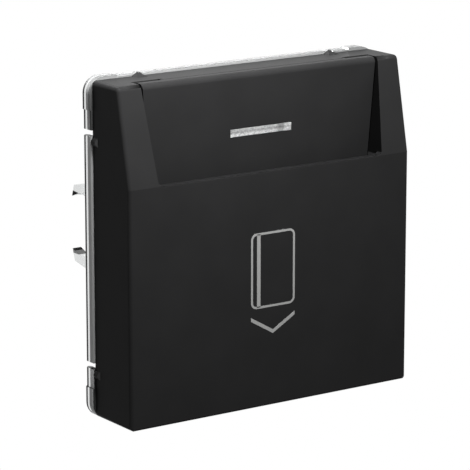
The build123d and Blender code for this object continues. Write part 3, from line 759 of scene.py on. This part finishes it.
@dataclass
class CoverShell:
    """The front cover and the card tongue; the cover has painted shade, darker copies of its black in
    the card pocket.
    """

    # The bounds of the faces that get painted shade
    cheek_inside: float = mm(27.0)
    cheek_outside: float = mm(30.0)
    cheek_bottom: float = mm(10.0)
    cheek_back: float = mm(-7.0)
    lip_bottom: float = mm(9.0)
    lip_top: float = mm(15.6)
    lip_back: float = mm(-14.3)
    lip_slope: float = 0.3

    def build(self, dresser: Dresser) -> None:
        """Builds both mouldings in place of their CAD nodes.

        Args:
            dresser: What puts it into the scene.
        """
        tongue = dresser.piece("card_flap_moulding", merged_copy("card_flap"), BLACK_COVER,
                               Body.TONGUE)
        cover = dresser.shaded_piece("front_cover_moulding", merged_copy("front_cover"), CoverPaintedShade,
                                     self.shade, Body.HOUSING)
        for piece, node in ((tongue, "card_flap"), (cover, "front_cover")):
            weigh_normals(piece)
            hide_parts(node)

    def shade(self, face: bmesh.types.BMFace) -> CoverPaintedShade:
        """Finds which painted shade a face of the cover gets.

        Args:
            face: The face.

        Returns:
            Deep painted shade on the cheeks' inner walls, lighter painted shade at the slot's lip, and
            none elsewhere.
        """
        place = face.calc_center_median()
        on_cheek = self.cheek_inside < abs(place.x) < self.cheek_outside and place.z > self.cheek_bottom
        inward = face.normal.x * place.x < 0.0 and abs(face.normal.x) > FACING
        if on_cheek and inward and place.y < self.cheek_back:
            return CoverPaintedShade.DEEP
        on_lip = self.lip_bottom < place.z < self.lip_top and place.y < self.lip_back
        if on_lip and max(face.normal.y, face.normal.z) > self.lip_slope:
            return CoverPaintedShade.LIP
        return CoverPaintedShade.OPEN


class NibPaintedLight(Enum):
    """Which faces of a nib are plain and which get painted light."""

    MOULDED = BLACK_COVER
    PAINTED_LIGHT = PAINTED_LIT_COVER


@dataclass
class CoverNibs:
    """The nibs on the cover's rear edge: half-round at the sides, pointed on top."""

    radius: float = mm(1.0)
    proud: float = mm(0.46)
    length: float = mm(1.85)
    heights: tuple[float, float] = (mm(22.25), mm(-25.55))
    steps: int = 24
    top_width: float = mm(3.0)
    top_length: float = mm(2.3)
    top_bite: float = mm(0.1)
    top_places: tuple[float, float] = (mm(-24.0), mm(23.3))

    def build(self, dresser: Dresser) -> None:
        """Builds the nibs over those of the CAD node.

        Args:
            dresser: What puts it into the scene.
        """
        _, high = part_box("front_cover")
        wall = side_wall("front_cover", high.y)
        form = bmesh.new()
        for side in (-1.0, 1.0):
            for height in self.heights:
                self.add_side_nib(form, side, Vector((wall, high.y, height)))
        for place in self.top_places:
            self.add_top_nib(form, Vector((place, high.y, high.z)), wall)
        bmesh.ops.recalc_face_normals(form, faces=form.faces[:])
        dresser.shaded_piece("cover_nibs", form, NibPaintedLight, self.shade, Body.HOUSING)

    def shade(self, face: bmesh.types.BMFace) -> NibPaintedLight:
        """Returns a nib face's finish: the slanted ends of the side nibs get painted light."""
        # Painted light: the slanted front ends of the side nibs get a lighter black
        cut = face.normal.y < -SLANTED and abs(face.normal.x) > SLANTED
        return NibPaintedLight.PAINTED_LIGHT if cut else NibPaintedLight.MOULDED

    def add_side_nib(self, form: bmesh.types.BMesh, side: float, edge: Vector) -> None:
        """Adds a half-round nib that ends on a slant.

        Args:
            form: What it is added to.
            side: -1 for the left wall and 1 for the right.
            edge: The wall's distance, the cover's rear edge and the nib's height.
        """
        nib = bmesh.ops.create_cone(form, cap_ends=True, segments=self.steps, radius1=self.radius,
                                    radius2=self.radius, depth=self.length)["verts"]
        middle = Vector((side * (edge.x + self.proud - self.radius), edge.y - self.length / 2, edge.z))
        bmesh.ops.rotate(form, cent=(0, 0, 0), matrix=QUARTER_TURN, verts=nib)
        bmesh.ops.translate(form, vec=middle, verts=nib)
        faces = list({face for vert in nib for face in vert.link_faces})
        cut_plane(form, faces, RIGHT * side * edge.x, RIGHT)
        for vert in nib:
            if vert.co.y < middle.y and abs(vert.co.x) > edge.x:
                vert.co.y += abs(vert.co.x) - edge.x

    def add_top_nib(self, form: bmesh.types.BMesh, apex: Vector, wall: float) -> None:
        """Adds a nib with three slopes, whose point stands over the rear edge.

        Args:
            form: What it is added to.
            apex: Its point.
            wall: How far the cover's walls stand from the middle.
        """
        depth = apex.z - wall + self.top_bite
        nib = bmesh.ops.create_cube(form, size=1.0)["verts"]
        bmesh.ops.scale(form, vec=(self.top_width, self.top_length, depth), verts=nib)
        bmesh.ops.translate(form, vec=(apex.x, apex.y - self.top_length / 2, apex.z - depth / 2),
                            verts=nib)
        bmesh.ops.pointmerge(form, verts=[vert for vert in nib if vert.co.z > apex.z - depth / 2],
                             merge_co=apex)


def side_wall(node: str, depth: float) -> float:
    """Finds how far a node's flat side walls stand from the middle.

    Args:
        node: The node's name.
        depth: Where along Y the walls are measured.

    Returns:
        The distance of the largest side face.
    """
    form = merged_copy(node)
    sides = [face for face in form.faces if face.normal.x > SQUARE_ON
             and any(abs(vert.co.y - depth) < TOUCH_WITHIN for vert in face.verts)]
    widest = max(sides, key=lambda face: face.calc_area())
    distance = max(vert.co.x for vert in widest.verts)
    form.free()
    return distance


@dataclass
class CardSign:
    """The printed sign: an upright card with its stripe, above an arrow head."""

    left: float = mm(-5.48)
    right: float = mm(5.40)
    bottom: float = mm(-13.62)
    top: float = mm(2.14)
    line: float = mm(0.47)
    corner: float = mm(1.36)
    stripe_left: float = mm(-4.01)
    stripe_right: float = mm(-3.15)
    stripe_corner_share: float = 0.125
    arrow_tip: float = mm(-19.24)
    arrow_shoulder: float = mm(-16.1)
    arrow_line: float = mm(0.8)
    film: float = mm(0.02)
    bite: float = mm(0.03)
    steps: int = 6

    def build(self, dresser: Dresser) -> None:
        """Builds the print on the cover's front face.

        Args:
            dresser: What puts it into the scene.
        """
        low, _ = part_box("front_cover")
        form = bmesh.new()
        for part in (self.card(), self.stripe(), self.arrow()):
            thicken(part, BACK * (self.film + self.bite))
            mesh = bpy.data.meshes.new("sign_part")
            part.to_mesh(mesh)
            part.free()
            form.from_mesh(mesh)
            bpy.data.meshes.remove(mesh)
        bmesh.ops.translate(form, vec=(0, low.y - self.film, 0), verts=form.verts)
        dresser.piece("card_sign", form, SIGN_INK, Body.HOUSING)

    def card(self) -> bmesh.types.BMesh:
        """Makes the card's outline.

        Returns:
            The outline, flat and upright.
        """
        form = rounded_plate((self.left, self.bottom), (self.right, self.top), self.corner,
                             self.steps)
        inner = form.faces[:]
        bmesh.ops.inset_region(form, faces=inner, thickness=self.line, depth=0.0,
                               use_even_offset=True, use_boundary=True)
        bmesh.ops.delete(form, geom=inner, context="FACES")
        return form

    def stripe(self) -> bmesh.types.BMesh:
        """Makes the stripe down the card.

        Returns:
            The stripe, flat and upright.
        """
        low = (self.stripe_left, self.bottom + self.line / 2)
        high = (self.stripe_right, self.top - self.line / 2)
        return rounded_plate(low, high, self.line * self.stripe_corner_share, steps=1)

    def arrow(self) -> bmesh.types.BMesh:
        """Makes the arrow head.

        Returns:
            The arrow head, flat and upright.
        """
        form = bmesh.new()
        middle = (self.left + self.right) / 2
        shoulder, tip, line = self.arrow_shoulder, self.arrow_tip, self.arrow_line
        outline = [(self.left, shoulder), (middle, tip), (self.right, shoulder),
                   (self.right, shoulder + line), (middle, tip + line), (self.left, shoulder + line)]
        form.faces.new([form.verts.new((x, 0, z)) for x, z in outline])
        return form


@dataclass
class HingeFilm:
    """The thin strip of the top wall that bends where the tongue leaves the cover."""

    half_width: float = mm(22.1)
    reach: float = mm(1.3)
    shift: float = mm(0.325)
    film: float = mm(0.03)
    bend_start: float = mm(0.1)
    bend_end: float = mm(0.6)
    steps: int = 12

    def build(self, dresser: Dresser) -> None:
        """Builds the film over the hinge line of the top wall.

        Args:
            dresser: What puts it into the scene.
        """
        line = joint_named("tongue_hinge")["pos_m"][1]
        _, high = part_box("card_flap")
        form = bmesh.new()
        bmesh.ops.create_grid(form, x_segments=1, y_segments=self.steps, size=0.5)
        bmesh.ops.scale(form, vec=(2 * self.half_width, self.reach, 1.0), verts=form.verts)
        bmesh.ops.translate(form, vec=(0, line + self.shift, high.z), verts=form.verts)
        thicken(form, UP * self.film)
        piece = dresser.piece("hinge_film", form, BLACK_COVER, None)
        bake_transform(piece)


@dataclass
class LightWindow:
    """The clear window of the tongue, with its facets."""

    rounding: float = mm(0.05)

    def build(self, dresser: Dresser) -> None:
        """Builds the window in place of its CAD node.

        Args:
            dresser: What puts it into the scene.
        """
        form = merged_copy("window_lens")
        break_edges(form, self.rounding)
        piece = dresser.piece("light_window", form, CLEAR_LENS, Body.TONGUE)
        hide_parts("window_lens")


class PaintedBand(Enum):
    """The clear frame's faces: clear, or bands of painted refraction with painted shade and highlights.
    """

    CLEAR = CLEAR_FRAME
    LINE = PAINTED_SHADE_LINE
    GLINT = PAINTED_GLINT
    BRIGHT = PAINTED_HIGHLIGHT
    GREY_BAND = PAINTED_GREY_REFRACTION
    WALL = PAINTED_WALL_REFRACTION
    FRONT = PAINTED_FRONT_REFRACTION
    HOOK = CLEAR_HOOK
    BARB = PAINTED_BARB_SHADE
    CATCH = PAINTED_CATCH_LIGHT


@dataclass
class ClearSnapFrame:
    """The clear frame behind the cover, with its hooks; its outside and its hooks carry the painted
    shade and highlights of refraction.
    """

    # Where the painted refraction bands lie, and the hooks' painted shade and painted light
    rear: float = mm(-0.5)
    line_end: float = mm(-1.1)
    glint_end: float = mm(-1.75)
    grey_band_end: float = mm(-2.7)
    front: float = mm(-3.2)
    outside: float = mm(34.4)
    corner: float = mm(31.75)
    corner_inside: float = mm(3.0)
    segment_half: float = mm(24.0)
    corner_start: float = mm(24.5)
    hook_start: float = mm(0.5)
    hook_middle: float = mm(3.7)
    hook_gap: float = mm(6.33)
    catch_middle: float = mm(6.9)
    barb_start: float = mm(5.3)
    wedge_start: float = mm(3.9)
    wedge_rise: float = 0.09
    strip_play: float = mm(0.1)
    end_facing: float = 0.95

    def build(self, dresser: Dresser) -> None:
        """Builds the frame in place of its CAD node.

        Args:
            dresser: What puts it into the scene.
        """
        form = merged_copy("clear_frame")
        for depth in (self.line_end, self.glint_end, self.grey_band_end):
            cut_plane(form, form.faces[:], BACK * depth, BACK)
        for tilt in (-1.0, 1.0):
            cut_plane(form, form.faces[:], Vector(), (RIGHT + UP * tilt).normalized())
        for height in (-self.corner_start, self.corner_start):
            strip = [face for face in form.faces if self.on_strip(face)]
            cut_plane(form, strip, UP * height, UP)
        for place, across in ((BACK * self.catch_middle, BACK),
                              (self.wedge_point(), self.wedge_up()),
                              (UP * (self.hook_middle - self.hook_gap), UP)):
            cut_plane(form, self.hooks(form), place, across)
        piece = dresser.shaded_piece("snap_frame", form, PaintedBand, self.band, Body.HOUSING)
        weigh_normals(piece)
        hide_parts("clear_frame")

    def hooks(self, form: bmesh.types.BMesh) -> list[bmesh.types.BMFace]:
        """Returns the faces of the hooks."""
        return [face for face in form.faces if face.calc_center_median().y > self.hook_start]

    def wedge_point(self) -> Vector:
        """Returns the point where the painted shade wedge of an upper hook starts."""
        return Vector((0, self.wedge_start, self.hook_middle + self.hook_gap))

    def wedge_up(self) -> Vector:
        """Returns the direction square to the top of that wedge."""
        return Vector((0, -self.wedge_rise, 1)).normalized()

    def on_strip(self, face: bmesh.types.BMFace) -> bool:
        """Returns whether a face lies on the skirt's front."""
        depth = face.calc_center_median().y
        return face.normal.y < -FACING and abs(depth - self.front) < self.strip_play

    def band(self, face: bmesh.types.BMFace) -> PaintedBand:
        """Finds the painted refraction band that a face of the frame lies in.

        Args:
            face: The face.

        Returns:
            Its band: painted shade or highlight on the skirt's outside and front, and clear on the
                skirt's inside and on the rear.
        """
        place = face.calc_center_median()
        if place.y > self.hook_start:
            return self.hook_band(face, place)
        on_side = abs(place.x) > abs(place.z)
        if self.on_strip(face):
            if not on_side:
                return PaintedBand.FRONT
            return PaintedBand.WALL if abs(place.z) < self.corner_start else PaintedBand.LINE
        if abs(face.normal.z if on_side else face.normal.x) > self.end_facing:
            return PaintedBand.LINE if on_side else PaintedBand.GLINT
        if not self.on_outside(place) or place.y > self.rear:
            return PaintedBand.CLEAR
        if face.normal.x * place.x + face.normal.z * place.z <= 0.0:
            return PaintedBand.CLEAR
        if place.y > self.line_end:
            return PaintedBand.LINE
        if place.y > self.glint_end:
            return PaintedBand.GLINT if abs(face.normal.z) < SLANTED else PaintedBand.BRIGHT
        if place.y > self.grey_band_end:
            return PaintedBand.GREY_BAND
        if on_side and abs(place.z) < self.segment_half:
            return PaintedBand.WALL
        return PaintedBand.LINE if place.z > 0.0 else PaintedBand.GREY_BAND

    def on_outside(self, place: Vector) -> bool:
        """Tells whether a point lies on the skirt's outside walls or its round corners.

        Args:
            place: The point.

        Returns:
            Whether it does.
        """
        round_x, round_z = abs(place.x) - self.corner, abs(place.z) - self.corner
        if min(round_x, round_z) > 0.0:
            return math.hypot(round_x, round_z) > self.corner_inside
        return max(abs(place.x), abs(place.z)) >= self.outside

    def hook_band(self, face: bmesh.types.BMFace, place: Vector) -> PaintedBand:
        """Finds the band of a hook's face.

        Args:
            face: The face.
            place: Its middle.

        Returns:
            Painted shade on an upper barb's outer flank and on a lower catch's front faces, painted
            light on the rest of a lower hook's catch, and clear on the arms.
        """
        flank = abs(face.normal.x) > FACING
        outer = face.normal.x * place.x > 0.0
        if place.z > self.hook_middle:
            under = (place - self.wedge_point()).dot(self.wedge_up()) < 0.0
            dark = flank and outer and under and place.y > self.wedge_start
            return PaintedBand.BARB if dark else PaintedBand.HOOK
        if place.y < self.barb_start or place.z < self.hook_middle - self.hook_gap:
            return PaintedBand.HOOK
        shaded = place.y > self.catch_middle and face.normal.y < 0.0 and not flank
        return PaintedBand.BARB if shaded else PaintedBand.CATCH


@dataclass
class ModuleSprings:
    """The plunger's coil and the arm's leaf, which give way when a card goes in."""

    leaf_foot: float = mm(2.7)
    leaf_tip: float = mm(1.3)
    leaf_steps: int = 8

    def build(self, dresser: Dresser) -> None:
        """Builds both springs in place of their CAD nodes."""
        self.build_coil(dresser)
        self.build_leaf(dresser)

    def build_coil(self, dresser: Dresser) -> None:
        """Builds the coil in place of its CAD node, with a mesh of its own; the real coil shortens
        towards its seat as the plunger slides back.

        Args:
            dresser: What puts it into the scene.
        """
        coil = dresser.piece("plunger_coil", merged_copy("return_spring"), SPRING_STEEL,
                             Body.HOUSING)
        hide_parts("return_spring")
        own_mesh(coil)

    def build_leaf(self, dresser: Dresser) -> None:
        """Builds the leaf in place of its CAD node, cut into steps between its foot and its tip and on
        no body; the real leaf's foot stays on its strip while its tip follows the arm.

        Args:
            dresser: What puts it into the scene.
        """
        low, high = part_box("contact_spring")
        foot, tip = low.x + self.leaf_foot, high.x - self.leaf_tip
        form = merged_copy("contact_spring")
        for step in range(1, self.leaf_steps):
            place = foot + (tip - foot) * step / self.leaf_steps
            cut_plane(form, form.faces[:], RIGHT * place, RIGHT)
        leaf = dresser.piece("arm_leaf", form, SPRING_STEEL, None)
        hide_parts("contact_spring")
        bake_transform(leaf)


@dataclass
class Lamp:
    """One soft box."""

    name: str
    place: tuple[float, float, float]
    size: tuple[float, float]
    power: float
    aim: tuple[float, float, float] = (0.0, -0.008, 0.0)

    def build(self) -> None:
        """Puts the lamp in the scene."""
        light = bpy.data.lights.new(self.name, "AREA")
        light.shape = "RECTANGLE"
        light.size, light.size_y = self.size
        light.energy = self.power
        lamp = bpy.data.objects.new(self.name, light)
        lamp.location = self.place
        direction = Vector(self.aim) - Vector(self.place)
        lamp.rotation_euler = direction.to_track_quat("-Z", "Y").to_euler()
        bpy.context.scene.collection.objects.link(lamp)


@dataclass
class Studio:
    """The camera, the lamps, the floor and the surroundings."""

    azimuth: float = math.radians(-34.62)
    elevation: float = math.radians(13.13)
    distance: float = mm(580.0)
    lens: float = 217.1
    sensor: float = 36.0
    aim: tuple[float, float, float] = (0.0, mm(-9.47), 0.0)
    aim_right: float = mm(-3.82)
    aim_up: float = mm(-0.04)
    clip: float = mm(10.0)
    floor_drop: float = mm(500.0)
    floor_half: float = 6.0
    floor_color: tuple[float, float, float] = (0.8, 0.8, 0.8)
    floor_roughness: float = 0.9
    surround: float = 0.08
    lamps: tuple[Lamp, ...] = (
        Lamp("key_box", (-0.03, -0.06, 0.125), (0.03, 0.05), 0.44),
        Lamp("back_box", (0.1, 0.75, 0.9), (0.7, 0.5), 12.0),
        Lamp("right_box", (0.9, -0.35, 0.3), (0.4, 0.5), 2.0),
    )

    def build(self) -> None:
        """Builds everything around the switch."""
        self.build_camera()
        self.build_floor()
        self.build_world()
        for lamp in self.lamps:
            lamp.build()
        bpy.context.scene.view_settings.view_transform = "Standard"

    def build_camera(self) -> None:
        """Places the camera where the photograph was taken from."""
        back = Vector((math.sin(self.azimuth) * math.cos(self.elevation),
                       -math.cos(self.azimuth) * math.cos(self.elevation),
                       math.sin(self.elevation)))
        turn = back.to_track_quat("Z", "Y")
        target = Vector(self.aim) + turn @ Vector((self.aim_right, self.aim_up, 0.0))
        camera = bpy.data.cameras.new("camera")
        camera.lens = self.lens
        camera.sensor_width = self.sensor
        camera.clip_start = self.clip
        holder = bpy.data.objects.new("camera", camera)
        holder.location = target + back * self.distance
        holder.rotation_euler = turn.to_euler()
        bpy.context.scene.collection.objects.link(holder)
        bpy.context.scene.camera = holder

    def build_floor(self) -> None:
        """Lays the pale floor, white to the eye, to gloss and through clear plastic."""
        form = bmesh.new()
        bmesh.ops.create_grid(form, x_segments=1, y_segments=1, size=self.floor_half)
        bmesh.ops.translate(form, vec=(0, 0, -self.floor_drop), verts=form.verts)
        mesh = bpy.data.meshes.new("floor")
        form.to_mesh(mesh)
        form.free()
        shader = Shader("pale_floor")
        shader.set(Base_Color=(*self.floor_color, 1.0), Roughness=self.floor_roughness)
        show_white(shader.tree, "Emission", shader.surface.outputs["BSDF"], shader.output)
        mesh.materials.append(shader.material)
        floor = bpy.data.objects.new("floor", mesh)
        bpy.context.scene.collection.objects.link(floor)

    def build_world(self) -> None:
        """Makes the surroundings a soft even light that the eye and gloss see as white."""
        world = bpy.data.worlds.new("surround")
        world.use_nodes = True
        tree = world.node_tree
        soft = tree.nodes["Background"]
        soft.inputs["Color"].default_value = WHITE
        soft.inputs["Strength"].default_value = self.surround
        show_white(tree, "Background", soft.outputs["Background"], tree.nodes["World Output"])
        bpy.context.scene.world = world


def show_white(tree: bpy.types.NodeTree, kind: str, lit: bpy.types.NodeSocket,
               output: bpy.types.Node) -> None:
    """Makes a background white to the camera, to gloss and through clear plastic.

    Args:
        tree: The nodes of a material or of the world.
        kind: The type of the white shader's node, without its ShaderNode prefix.
        lit: The shader that all other rays meet.
        output: The output node.
    """
    path = tree.nodes.new("ShaderNodeLightPath")
    seen = path.outputs["Is Camera Ray"]
    for ray in ("Is Glossy Ray", "Is Transmission Ray"):
        larger = tree.nodes.new("ShaderNodeMath")
        larger.operation = "MAXIMUM"
        tree.links.new(seen, larger.inputs[0])
        tree.links.new(path.outputs[ray], larger.inputs[1])
        seen = larger.outputs["Value"]
    white = tree.nodes.new("ShaderNode" + kind)
    white.inputs["Color"].default_value = WHITE
    white.inputs["Strength"].default_value = 1.0
    mix = tree.nodes.new("ShaderNodeMixShader")
    for source, target in ((seen, mix.inputs["Fac"]), (lit, mix.inputs[1]),
                           (white.outputs[0], mix.inputs[2]),
                           (mix.outputs["Shader"], output.inputs["Surface"])):
        tree.links.new(source, target)


def main() -> None:
    """Builds the studio and the switch, and logs each piece."""
    logging.basicConfig(level=logging.INFO, format="%(message)s")
    Studio().build()
    dresser = Dresser()
    for node, finish in NODE_FINISHES.items():
        dresser.dress_node(node, finish)
    for assembly in (CoverShell(), CoverNibs(), CardSign(), HingeFilm(), LightWindow(),
                     ClearSnapFrame(), ModuleSprings()):
        assembly.build(dresser)


if __name__ == "__main__":
    main()
